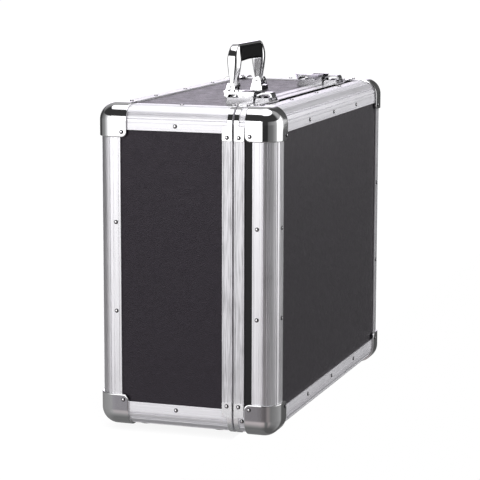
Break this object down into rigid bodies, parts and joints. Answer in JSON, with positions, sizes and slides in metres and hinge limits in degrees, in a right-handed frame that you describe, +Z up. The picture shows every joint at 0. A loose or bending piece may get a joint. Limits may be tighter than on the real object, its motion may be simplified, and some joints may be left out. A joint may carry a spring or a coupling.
{
  "type": "aluminium tool case",
  "caption": "Hard tool case with aluminium edge rails, chrome corner caps, black boards, a hinged lid, two draw latches and a folding carry handle.",
  "frame": {"origin": "centre of the bounding box's underside, under the feet", "axes": "+Z up as the case stands on its hinge side with the handle on top; X along the length; the lid face looks along -Y"},
  "size_m": [0.4124, 0.1964, 0.3902],
  "materials": {
    "rail": "satin anodised with fine lengthwise grooves",
    "rim": "brushed along its length",
    "chrome": "polished",
    "board": "fine pebble grain, satin",
    "lining": "soft short pile",
    "foot": "matt",
    "grip": "satin moulded",
    "pin_steel": "plain"
  },
  "bodies": {
    "base": {"base_panel_back": "board", "base_panel_top": "board", "base_panel_bottom": "board", "base_panel_left": "board", "base_panel_right": "board", "base_rail_top": "rail", "base_rail_bottom": "rail", "base_rail_left": "rail", "base_rail_right": "rail", "base_rails_deep": "rail", "base_rim_top": "rim", "base_rim_bottom": "rim", "base_rim_left": "rim", "base_rim_right": "rim", "base_corner_caps": "chrome", "base_rim_brackets": "chrome", "base_rivets": "chrome", "base_lining": "lining", "feet": "foot", "foot_screws": "pin_steel", "base_hinge_leaves": "chrome", "hinge_pins": "pin_steel", "latch_bases": "chrome", "latch_pivot_pins": "pin_steel", "handle_mounts": "chrome", "handle_pins": "pin_steel"},
    "lid": {"lid_panel_face": "board", "lid_panel_top": "board", "lid_panel_bottom": "board", "lid_panel_left": "board", "lid_panel_right": "board", "lid_rail_top": "rail", "lid_rail_bottom": "rail", "lid_rail_left": "rail", "lid_rail_right": "rail", "lid_rails_short": "rail", "lid_rim_top": "rim", "lid_rim_bottom": "rim", "lid_rim_left": "rim", "lid_rim_right": "rim", "lid_corner_caps": "chrome", "lid_rim_brackets": "chrome", "lid_rivets": "chrome", "lid_lining": "lining", "lid_hinge_leaves": "chrome", "latch_catches": "chrome"},
    "lever_left": {"latch_lever_left": "chrome", "latch_link_pin_left": "pin_steel"},
    "lever_right": {"latch_lever_right": "chrome", "latch_link_pin_right": "pin_steel"},
    "claw_left": {"latch_claw_left": "chrome"},
    "claw_right": {"latch_claw_right": "chrome"},
    "handle": {"handle_bow": "chrome", "handle_grip": "grip"}
  },
  "joints": [
    {"name": "lid_hinge", "type": "hinge", "parent": "base", "child": "lid", "pos_m": [0, -0.0502, 0.00425], "axis": [1, 0, 0], "range_deg": [0, 95]},
    {"name": "handle_pivot", "type": "hinge", "parent": "base", "child": "handle", "pos_m": [0, 0.004, 0.3456], "axis": [1, 0, 0], "range_deg": [-85, 85]},
    {"name": "latch_lever_left", "type": "hinge", "parent": "base", "child": "lever_left", "pos_m": [-0.1235, -0.0463, 0.3412], "axis": [1, 0, 0], "range_deg": [0, 80]},
    {"name": "latch_claw_left", "type": "hinge", "parent": "lever_left", "child": "claw_left", "pos_m": [-0.1235, -0.0379, 0.3422], "axis": [1, 0, 0], "range_deg": [-80, 0]},
    {"name": "latch_lever_right", "type": "hinge", "parent": "base", "child": "lever_right", "pos_m": [0.1235, -0.0463, 0.3412], "axis": [1, 0, 0], "range_deg": [0, 80]},
    {"name": "latch_claw_right", "type": "hinge", "parent": "lever_right", "child": "claw_right", "pos_m": [0.1235, -0.0379, 0.3422], "axis": [1, 0, 0], "range_deg": [-80, 0]}
  ],
  "couplings": [
    {"joint": "latch_claw_left", "follows": "latch_lever_left", "ratio": -1},
    {"joint": "latch_claw_right", "follows": "latch_lever_right", "ratio": -1}
  ]
}
